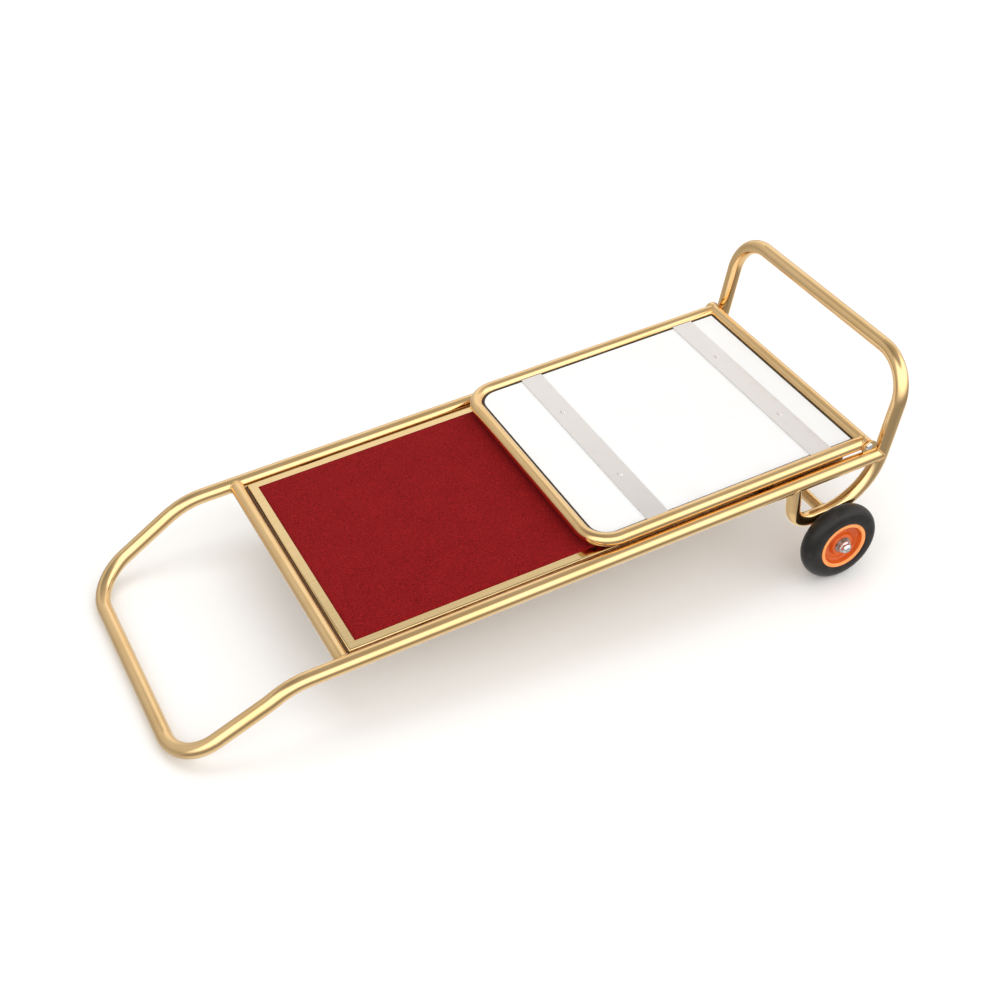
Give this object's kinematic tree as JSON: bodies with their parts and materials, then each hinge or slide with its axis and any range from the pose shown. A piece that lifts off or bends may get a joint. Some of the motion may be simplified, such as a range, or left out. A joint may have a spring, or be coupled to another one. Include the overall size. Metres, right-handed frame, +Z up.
{
  "type": "folding luggage cart",
  "caption": "Folding luggage hand truck lying on its back: gold tube frame, drop handle, toe loop, rubber-tyred wheels and a carpeted load platform folded flat.",
  "frame": {"origin": "on the floor, midway between the two sides and midway along the cart as it lies", "axes": "+X from the handle to the toe, +Y to the left side, +Z up"},
  "size_m": [1.2606, 0.6006, 0.3704],
  "materials": {
    "gold_tube": "polished and lacquered",
    "gold_trim": "satin",
    "red_carpet": "short dense pile",
    "panel_wood": "bare board",
    "white_board": "smooth white laminate",
    "plain_steel": "smooth",
    "bright_steel": "bright plated",
    "tyre": "moulded rubber",
    "orange_rim": "moulded",
    "black_bush": "moulded"
  },
  "bodies": {
    "cart": {"main_frame": "gold_tube", "cross_bar": "gold_tube", "back_strap_upper": "plain_steel", "back_strap_lower": "plain_steel", "back_panel": "panel_wood", "back_trim": "gold_trim", "back_carpet": "red_carpet", "back_rivets": "plain_steel", "toe_loop": "gold_tube", "heel_tube": "gold_tube", "axle_bracket_left": "gold_tube", "axle_bracket_right": "gold_tube", "axle_bolt_left": "bright_steel", "axle_bolt_right": "bright_steel", "axle_nut_left": "bright_steel", "axle_nut_right": "bright_steel", "axle_spacer_left": "plain_steel", "axle_spacer_right": "plain_steel", "axle_washer_left": "plain_steel", "axle_washer_right": "plain_steel", "hinge_ear_left": "gold_tube", "hinge_ear_right": "gold_tube", "hinge_pin_left": "bright_steel", "hinge_pin_right": "bright_steel"},
    "wheel_left": {"tyre_left": "tyre", "rim_left": "orange_rim", "bearing_left": "plain_steel"},
    "wheel_right": {"tyre_right": "tyre", "rim_right": "orange_rim", "bearing_right": "plain_steel"},
    "platform": {"platform_frame": "gold_tube", "hinge_tube": "gold_tube", "platform_board": "white_board", "platform_carpet": "red_carpet", "platform_strap_inner": "plain_steel", "platform_strap_outer": "plain_steel", "platform_rivets": "plain_steel", "hinge_bush_left": "black_bush", "hinge_bush_right": "black_bush"}
  },
  "joints": [
    {"name": "wheel_spin_left", "type": "hinge", "parent": "cart", "child": "wheel_left", "pos_m": [0.49968, 0.272, 0.07], "axis": [0, 1, 0], "continuous": true},
    {"name": "wheel_spin_right", "type": "hinge", "parent": "cart", "child": "wheel_right", "pos_m": [0.49968, -0.272, 0.07], "axis": [0, 1, 0], "continuous": true},
    {"name": "platform_fold", "type": "hinge", "parent": "cart", "child": "platform", "pos_m": [0.5598, 0, 0.22031], "axis": [0, 1, 0], "range_deg": [0, 109]}
  ]
}
